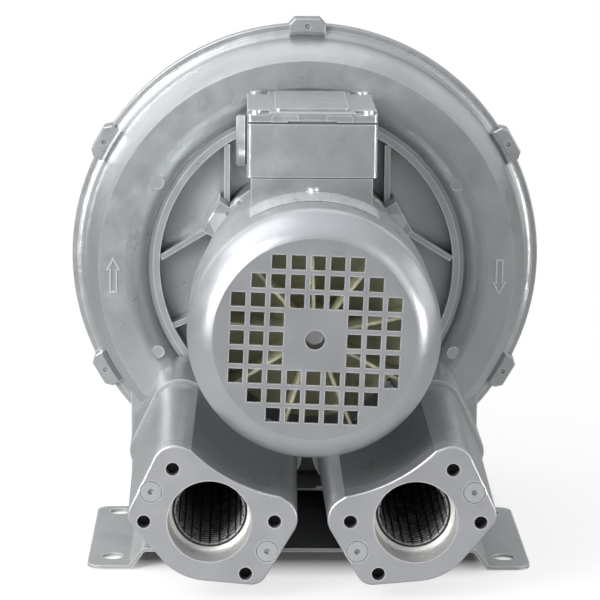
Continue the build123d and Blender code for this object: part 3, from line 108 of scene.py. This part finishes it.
def distance(tree, first, second):
    """How far from zero a pair of coordinates lies."""
    first_square = reckon(tree, "MULTIPLY", first, first)
    second_square = reckon(tree, "MULTIPLY", second, second)
    return reckon(tree, "SQRT", reckon(tree, "ADD", first_square, second_square))


def blended(tree, factor, first, second):
    """A colour between two colours; each is a colour or another node's output."""
    mix = tree.nodes.new("ShaderNodeMix")
    mix.data_type = "RGBA"
    tree.links.new(factor, mix.inputs["Factor"])
    for socket, value in ((mix.inputs[6], first), (mix.inputs[7], second)):
        if isinstance(value, tuple):
            socket.default_value = (*value, 1)
        else:
            tree.links.new(value, socket)
    return mix.outputs[2]


def raised(tree, shader, height, distance, strength=1.0, below=None):
    """Adds relief to a shader; below is relief it lies on."""
    bump = tree.nodes.new("ShaderNodeBump")
    bump.inputs["Distance"].default_value = distance
    bump.inputs["Strength"].default_value = strength
    tree.links.new(height, bump.inputs["Height"])
    if below is not None:
        tree.links.new(below, bump.inputs["Normal"])
    tree.links.new(bump.outputs["Normal"], shader.inputs["Normal"])
    return bump.outputs["Normal"]


def closeness(tree, reach, inside=False, alone=True):
    """Nearness of other surface, from 0 to 1: in creases, or from inside, along edges."""
    node = tree.nodes.new("ShaderNodeAmbientOcclusion")
    node.samples = 6
    node.inside = inside
    node.only_local = alone
    node.inputs["Distance"].default_value = reach
    return reckon(tree, "SUBTRACT", 1.0, node.outputs["AO"])


def split(tree, vector):
    node = tree.nodes.new("ShaderNodeSeparateXYZ")
    tree.links.new(vector, node.inputs["Vector"])
    return node.outputs["X"], node.outputs["Y"], node.outputs["Z"]


# ------------------------------------------------------------ finishes
shaft_height = 0.173
port_aside = 0.0648
port_height = 0.053
bore_radius = 0.0267
bore_front = -0.1422
# reaches and colours below set painted shade in recesses, creases and screw sockets, and a painted highlight
# along edges
recess_shade_reach = 0.06
crease_shade_reach = 0.0025
edge_highlight_reach = 0.0014
socket_reach = 0.003
edge_highlight_colour = (0.95, 0.96, 0.97)
machined_wall = (0.78, 0.78, 0.76)
socket_shade_colour = (0.03, 0.032, 0.032)
sheets_per_metre = 1000.0


def within_bores(tree, here):
    """1 within the circles of the two port bores and everywhere behind them, 0 elsewhere."""
    x, along, z = split(tree, here)
    aside = reckon(tree, "SUBTRACT", reckon(tree, "ABSOLUTE", x), port_aside)
    above = reckon(tree, "SUBTRACT", z, port_height)
    near = reckon(tree, "LESS_THAN", distance(tree, aside, above), bore_radius)
    return reckon(tree, "MULTIPLY", near, reckon(tree, "GREATER_THAN", along, bore_front))


def silver_paint(name, colour, metallic, roughness, texture_size, texture_height, wave_height):
    """Aluminium-flake paint: clouds in tone, a fine grain, orange peel, a painted highlight along edges,
    painted shade in creases and recesses.
    """
    finish, tree, shader = new_finish(name, colour, metallic, roughness)
    here = surface_point(tree)
    clouds = grain(tree, here, 16.0, 4.0)
    flake = grain(tree, here, 2600.0, 1.0)
    tone = blended(tree, spread(tree, clouds, 0.3, 0.7, 0.0, 1.0), scaled(colour, 0.94), scaled(colour, 1.05))
    tone = blended(tree, spread(tree, flake, 0.35, 0.8, 0.0, 0.3), tone, scaled(colour, 1.25))
    # painted shade: the colour darkens to near black where other surfaces lie within 60 mm, in deep gaps and
    # recesses
    painted_recess_shade = spread(tree, closeness(tree, recess_shade_reach, alone=False), 0.78, 0.98, 0.0, 0.9)
    tone = blended(tree, painted_recess_shade, tone, scaled(colour, 0.08))
    # painted shade: darker where the piece's own surface lies within 2.5 mm, in creases
    painted_crease_shade = spread(tree, closeness(tree, crease_shade_reach), 0.35, 0.7, 0.0, 0.6)
    tone = blended(tree, painted_crease_shade, tone, scaled(colour, 0.3))
    # painted highlight: near-white colour along convex edges, found from inside; it also stands for paint
    # rubbed off there
    edge_highlight_mask = spread(tree, closeness(tree, edge_highlight_reach, True), 0.2, 0.5, 0.0, 0.9)
    tone = blended(tree, edge_highlight_mask, tone, edge_highlight_colour)
    bore = within_bores(tree, here)
    tone = blended(tree, bore, tone, machined_wall)
    tree.links.new(tone, shader.inputs["Base Color"])
    rough = spread(tree, grain(tree, here, 60.0, 5.0), 0.3, 0.7, roughness - 0.05, roughness + 0.07)
    rough = reckon(tree, "ADD", rough, reckon(tree, "MULTIPLY", bore, 0.12))
    tree.links.new(rough, shader.inputs["Roughness"])
    wave = raised(tree, shader, grain(tree, here, 95.0, 2.0), wave_height)
    raised(tree, shader, grain(tree, here, 1.0 / texture_size, 3.0, 0.6), texture_height, 1.0, wave)
    return finish


def plated_steel(name, colour, roughness):
    """Zinc-plated fasteners: bright, a little cloudy, with painted shade darkening the sockets."""
    finish, tree, shader = new_finish(name, colour, 1.0, roughness)
    here = surface_point(tree)
    clouds = grain(tree, here, 90.0, 2.0)
    tone = blended(tree, spread(tree, clouds, 0.3, 0.7, 0.0, 1.0), scaled(colour, 0.97), scaled(colour, 1.03))
    # painted shade: near black where other surface lies within 3 mm, in the screw sockets
    socket_shade_mask = spread(tree, closeness(tree, socket_reach), 0.45, 0.8, 0.0, 0.9)
    tone = blended(tree, socket_shade_mask, tone, socket_shade_colour)
    tree.links.new(tone, shader.inputs["Base Color"])
    return finish


def ground_metal(name, colour, roughness):
    finish, tree, shader = new_finish(name, colour, 1.0, roughness)
    here = surface_point(tree)
    streaks = grain(tree, stretched(tree, here, (0.1, 1, 0.1)), 1800.0, 2.0)
    rough = spread(tree, streaks, 0.3, 0.7, roughness - 0.05, roughness + 0.08)
    tree.links.new(rough, shader.inputs["Roughness"])
    raised(tree, shader, streaks, 0.00002)
    return finish


def laminated_steel(name, colour):
    """A stack of punched sheets: thin dark lines across the shaft."""
    finish, tree, shader = new_finish(name, colour, 0.9, 0.45)
    here = surface_point(tree)
    _, along, _ = split(tree, here)
    sheet = reckon(tree, "FRACT", reckon(tree, "MULTIPLY", along, sheets_per_metre))
    line = spread(tree, sheet, 0.75, 0.95, 0.0, 1.0)
    tone = blended(tree, line, colour, scaled(colour, 0.35))
    tree.links.new(tone, shader.inputs["Base Color"])
    raised(tree, shader, reckon(tree, "SUBTRACT", 1.0, line), 0.0001)
    return finish


def moulded(name, colour, roughness, texture_size=0.0009, texture_height=0.00006):
    finish, tree, shader = new_finish(name, colour, 0.0, roughness)
    here = surface_point(tree)
    clouds = grain(tree, here, 40.0, 4.0)
    tone = blended(tree, spread(tree, clouds, 0.3, 0.7, 0.0, 1.0),
                   scaled(colour, 0.88), scaled(colour, 1.08))
    tree.links.new(tone, shader.inputs["Base Color"])
    rough = spread(tree, grain(tree, here, 150.0), 0.3, 0.7, roughness - 0.06, roughness + 0.06)
    tree.links.new(rough, shader.inputs["Roughness"])
    raised(tree, shader, grain(tree, here, 1.0 / texture_size, 2.0), texture_height)
    return finish


def wound_wire(name, colour):
    """Varnished wire: fine ridges running round the winding."""
    finish, tree, shader = new_finish(name, colour, 0.75, 0.35, Coat_Weight=0.5, Coat_Roughness=0.2)
    here = surface_point(tree)
    x, along, z = split(tree, here)
    radius = distance(tree, x, reckon(tree, "SUBTRACT", z, shaft_height))
    wander = spread(tree, grain(tree, here, 130.0), 0.3, 0.7, 0.0, 1.6)
    turns = reckon(tree, "SINE", reckon(tree, "ADD", reckon(tree, "MULTIPLY",
                   reckon(tree, "ADD", radius, along), 5200.0), wander))
    tone = blended(tree, spread(tree, turns, -1.0, 1.0, 0.0, 1.0), scaled(colour, 0.45), colour)
    tree.links.new(tone, shader.inputs["Base Color"])
    raised(tree, shader, turns, 0.0003)
    return finish


def woven_net(name, colour):
    """Black lacquered wire with a dusty bloom in patches."""
    finish, tree, shader = new_finish(name, colour, 0.0, 0.3)
    here = surface_point(tree)
    bloom = spread(tree, grain(tree, here, 300.0, 3.0), 0.35, 0.65, 0.0, 1.0)
    tone = blended(tree, bloom, colour, scaled(colour, 2.5))
    tree.links.new(tone, shader.inputs["Base Color"])
    rough = spread(tree, bloom, 0.0, 0.5, 0.25, 0.5)
    tree.links.new(rough, shader.inputs["Roughness"])
    return finish


def worn_foil(name, colour):
    """A blank foil strip whose print has worn to grey specks."""
    finish, tree, shader = new_finish(name, colour, 0.6, 0.4)
    here = surface_point(tree)
    specks = grain(tree, here, 420.0, 6.0, 0.75, 0.6)
    patches = grain(tree, here, 90.0, 3.0)
    worn = spread(tree, patches, 0.4, 0.6, 0.25, 1.0)
    mask = reckon(tree, "MULTIPLY", spread(tree, specks, 0.53, 0.58, 0.0, 1.0), worn)
    tone = blended(tree, mask, colour, scaled(colour, 0.42))
    tree.links.new(tone, shader.inputs["Base Color"])
    raised(tree, shader, specks, 0.00008)
    return finish


finishes = {
    "cast_silver": silver_paint("cast_silver", (0.46, 0.475, 0.48), 0.8, 0.32, 0.0011, 0.00010, 0.0004),
    "flange_silver": silver_paint("flange_silver", (0.47, 0.475, 0.49), 0.8, 0.38, 0.0009, 0.00007, 0.0002),
    "cowl_silver": silver_paint("cowl_silver", (0.45, 0.462, 0.475), 0.8, 0.31, 0.0008, 0.00003, 0.00015),
    "bracket_steel": silver_paint("bracket_steel", (0.48, 0.49, 0.485), 0.8, 0.42, 0.0009, 0.00004, 0.00025),
    "zinc_steel": plated_steel("zinc_steel", (0.74, 0.76, 0.765), 0.42),
    "gasket_fibre": moulded("gasket_fibre", (0.06, 0.06, 0.062), 0.75),
    "seal_rubber": moulded("seal_rubber", (0.02, 0.02, 0.02), 0.55),
    "black_mesh": woven_net("black_mesh", (0.012, 0.012, 0.014)),
    # painted highlight: the strands are the same black wire as the rods, given a lighter grey to show the
    # sheen on their crowns
    "net_strand_painted_sheen": woven_net("net_strand_painted_sheen", (0.16, 0.165, 0.17)),
    # painted highlight: the hem is given lighter plated metal to show the gloss line along its front edge
    "net_hem_painted_gloss": plated_steel("net_hem_painted_gloss", (0.35, 0.35, 0.36), 0.4),
    "grey_foam": moulded("grey_foam", (0.06, 0.06, 0.066), 0.95, 0.0016, 0.0009),
    "core_steel": laminated_steel("core_steel", (0.26, 0.26, 0.27)),
    "copper_wire": wound_wire("copper_wire", (0.60, 0.27, 0.12)),
    "bare_aluminium": silver_paint("bare_aluminium", (0.62, 0.63, 0.64), 0.95, 0.42, 0.0010, 0.00012, 0.0003),
    "ground_steel": ground_metal("ground_steel", (0.68, 0.69, 0.70), 0.18),
    "brass": ground_metal("brass", (0.72, 0.54, 0.24), 0.27),
    "board_plastic": moulded("board_plastic", (0.035, 0.035, 0.038), 0.45),
    "fan_plastic": moulded("fan_plastic", (0.50, 0.49, 0.34), 0.5),
    "plate_foil": worn_foil("plate_foil", (0.60, 0.615, 0.62)),
}

for part in frame["record"]["subparts"]:
    piece = nodes[part["node"]]
    piece.data.materials.clear()
    piece.data.materials.append(finishes[part["material_slot"]])


# ------------------------------------------------------------ woven tubes in the silencer chambers
def settle(piece):
    """Puts a piece's place into its mesh and leaves it as the only one selected."""
    bpy.ops.object.select_all(action="DESELECT")
    piece.select_set(True)
    bpy.context.view_layer.objects.active = piece
    bpy.ops.object.transform_apply(location=True, rotation=True, scale=True)


def woven_tube(name, aside):
    """A tube woven of long rods with thin strands round them, and a plain hem at its front end."""
    middle = (front + rear) / 2
    bpy.ops.mesh.primitive_cylinder_add(
        vertices=8, radius=rod_radius, depth=rear - front, location=(aside, middle, port_height - rod_circle),
        rotation=(math.pi / 2, 0, 0))
    rods = bpy.context.object
    settle(rods)
    bpy.ops.object.mode_set(mode="EDIT")
    bpy.ops.mesh.select_all(action="SELECT")
    bpy.ops.mesh.spin(
        steps=rod_count, dupli=True, angle=math.tau, center=(aside, 0, port_height), axis=(0, 1, 0))
    bpy.ops.mesh.select_all(action="SELECT")
    bpy.ops.mesh.remove_doubles(threshold=0.00001)
    bpy.ops.mesh.normals_make_consistent(inside=False)
    bpy.ops.object.mode_set(mode="OBJECT")

    bpy.ops.mesh.primitive_torus_add(
        major_radius=strand_circle, minor_radius=strand_radius, major_segments=66, minor_segments=6,
        location=(aside, front + strand_pitch, port_height), rotation=(math.pi / 2, 0, 0))
    strands = bpy.context.object
    settle(strands)
    rows = strands.modifiers.new("rows", "ARRAY")
    rows.count = int((rear - front) / strand_pitch) - 1
    rows.use_relative_offset = False
    rows.use_constant_offset = True
    rows.constant_offset_displace = (0, strand_pitch, 0)
    bpy.ops.object.modifier_apply(modifier="rows")

    bpy.ops.mesh.primitive_cylinder_add(
        vertices=66, radius=hem_outer, depth=hem_length, end_fill_type="NOTHING",
        location=(aside, front + hem_length / 2, port_height), rotation=(math.pi / 2, 0, 0))
    hem = bpy.context.object
    settle(hem)
    wall = hem.modifiers.new("wall", "SOLIDIFY")
    wall.thickness = hem_wall
    wall.offset = -1
    bpy.ops.object.modifier_apply(modifier="wall")

    bpy.ops.object.select_all(action="DESELECT")
    # the strands' lighter grey is a painted highlight on black wire
    for piece, finish in ((rods, "black_mesh"), (strands, "net_strand_painted_sheen"), (hem, "net_hem_painted_gloss")):
        piece.data.materials.clear()
        piece.data.materials.append(finishes[finish])
        piece.select_set(True)
    bpy.context.view_layer.objects.active = strands
    bpy.ops.object.join()
    tube = bpy.context.object
    tube.name = name
    bpy.ops.object.transform_apply(location=True, rotation=True, scale=True)
    bpy.ops.object.shade_smooth_by_angle(angle=math.radians(40))
    return tube


front, rear = -0.1181, 0.0634
rod_count, rod_radius, rod_circle = 22, 0.00055, 0.02175
strand_pitch, strand_radius, strand_circle = 0.0045, 0.00038, 0.02215
hem_outer, hem_wall, hem_length = 0.02255, 0.0012, 0.0016

for side, aside in (("inlet", -port_aside), ("outlet", port_aside)):
    tube = woven_tube(side + "_woven_tube", aside)
    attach(tube, "blower")
    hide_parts(side + "_silencer_mesh")


# ------------------------------------------------------------ floor, light and camera
floor_size = 16.0
floor_gap = 0.0004
unseen_glow = 0.28
side_strength = 0.48
sky_strength = 0.72


def studio_floor():
    bpy.ops.mesh.primitive_plane_add(size=floor_size, location=(0, 0, -floor_gap))
    floor = bpy.context.object
    floor.name = "studio_floor"
    material = bpy.data.materials.new("floor_white")
    material.use_nodes = True
    tree = material.node_tree
    tree.nodes.clear()
    end = tree.nodes.new("ShaderNodeOutputMaterial")
    matt = tree.nodes.new("ShaderNodeBsdfDiffuse")
    matt.inputs["Color"].default_value = (0.93, 0.93, 0.93, 1)
    glow = tree.nodes.new("ShaderNodeEmission")
    glow.inputs["Color"].default_value = (1, 1, 1, 1)
    here = surface_point(tree)
    x, y, _ = split(tree, here)
    away = distance(tree, x, y)
    share = spread(tree, away, 0.2, 0.7, 0.74, 1.0)
    behind_flanges = spread(tree, y, -0.09, -0.05, 0.0, 1.0)
    before_cover = spread(tree, y, 0.18, 0.25, 1.0, 0.0)
    between_feet = spread(tree, reckon(tree, "ABSOLUTE", x), 0.11, 0.14, 0.95, 0.0)
    beneath = reckon(tree, "MULTIPLY", reckon(tree, "MULTIPLY", behind_flanges, before_cover), between_feet)
    share = reckon(tree, "MULTIPLY", share, reckon(tree, "SUBTRACT", 1.0, beneath))
    seen = tree.nodes.new("ShaderNodeLightPath")
    strength = spread(tree, seen.outputs["Is Camera Ray"], 0.0, 1.0, unseen_glow, 1.0)
    tree.links.new(strength, glow.inputs["Strength"])
    bounced = reckon(tree, "MAXIMUM", seen.outputs["Is Glossy Ray"], seen.outputs["Is Transmission Ray"])
    straight = reckon(tree, "MAXIMUM", seen.outputs["Is Camera Ray"], bounced)
    mix = tree.nodes.new("ShaderNodeMixShader")
    tree.links.new(reckon(tree, "MULTIPLY", share, straight), mix.inputs["Fac"])
    tree.links.new(matt.outputs["BSDF"], mix.inputs[1])
    tree.links.new(glow.outputs["Emission"], mix.inputs[2])
    tree.links.new(mix.outputs["Shader"], end.inputs["Surface"])
    floor.data.materials.append(material)


light_aim = (0, 0, 0.17)


def softbox(name, place, width, height, watts):
    lamp = bpy.data.lights.new(name, "AREA")
    lamp.shape = "RECTANGLE"
    lamp.size = width
    lamp.size_y = height
    lamp.energy = watts
    holder = bpy.data.objects.new(name, lamp)
    bpy.context.scene.collection.objects.link(holder)
    holder.location = place
    holder.rotation_euler = (Vector(light_aim) - Vector(place)).to_track_quat("-Z", "Y").to_euler()


def studio_world():
    world = bpy.data.worlds.new("studio_world")
    bpy.context.scene.world = world
    world.use_nodes = True
    tree = world.node_tree
    tree.nodes.clear()
    end = tree.nodes.new("ShaderNodeOutputWorld")
    fill = tree.nodes.new("ShaderNodeBackground")
    fill.inputs["Color"].default_value = (0.95, 0.97, 1.0, 1)
    toward = tree.nodes.new("ShaderNodeTexCoord").outputs["Generated"]
    aside, _, above = split(tree, toward)
    side_glow = spread(tree, aside, -1.0, 1.0, side_strength, 0.0)
    sky_glow = spread(tree, above, 0.0, 1.0, 0.0, sky_strength)
    tree.links.new(reckon(tree, "ADD", side_glow, sky_glow), fill.inputs["Strength"])
    white = tree.nodes.new("ShaderNodeBackground")
    white.inputs["Color"].default_value = (1, 1, 1, 1)
    white.inputs["Strength"].default_value = 1.0
    seen = tree.nodes.new("ShaderNodeLightPath")
    mix = tree.nodes.new("ShaderNodeMixShader")
    tree.links.new(seen.outputs["Is Camera Ray"], mix.inputs["Fac"])
    tree.links.new(fill.outputs["Background"], mix.inputs[1])
    tree.links.new(white.outputs["Background"], mix.inputs[2])
    tree.links.new(mix.outputs["Shader"], end.inputs["Surface"])


def studio_camera(place, pitch, yaw, roll, focal):
    """A tripod camera: pitch is down, yaw is to the left, roll lifts the right side."""
    ahead = Vector((-math.sin(yaw) * math.cos(pitch), math.cos(yaw) * math.cos(pitch), -math.sin(pitch)))
    right = ahead.cross(Vector((0, 0, 1))).normalized()
    up = right.cross(ahead)
    right, up = (math.cos(roll) * right + math.sin(roll) * up, math.cos(roll) * up - math.sin(roll) * right)
    lens = bpy.data.cameras.new("studio_camera")
    lens.lens = focal
    lens.sensor_width = 36.0
    lens.clip_end = 50.0
    holder = bpy.data.objects.new("studio_camera", lens)
    holder.matrix_world = Matrix.Translation(place) @ Matrix((right, up, -ahead)).transposed().to_4x4()
    bpy.context.scene.collection.objects.link(holder)
    bpy.context.scene.camera = holder


studio_floor()
softbox("upper_left_softbox", (-0.72, -0.05, 1.2), 0.9, 0.9, 3.2)
softbox("rear_left_softbox", (-0.8, 1.0, 0.75), 0.8, 0.8, 1.6)
softbox("rear_overhead_softbox", (0.0, 0.95, 1.15), 0.9, 0.8, 1.2)
softbox("front_left_softbox", (-0.95, -1.0, 0.65), 0.7, 0.8, 25.0)
softbox("right_softbox", (1.25, 0.0, 0.5), 0.9, 0.7, 2.2)
softbox("rear_right_softbox", (0.85, 1.0, 0.75), 0.8, 0.8, 1.0)
softbox("front_right_softbox", (0.95, -1.0, 0.65), 0.7, 0.8, 1.6)
softbox("low_right_softbox", (1.2, -0.75, 0.12), 0.6, 0.3, 5.0)
studio_world()
studio_camera(
    place=(-0.04299, -1.69801, 0.51696), pitch=math.radians(11.687), yaw=math.radians(-1.2464),
    roll=math.radians(0.5293), focal=154.78)

bpy.context.scene.view_settings.view_transform = "Standard"
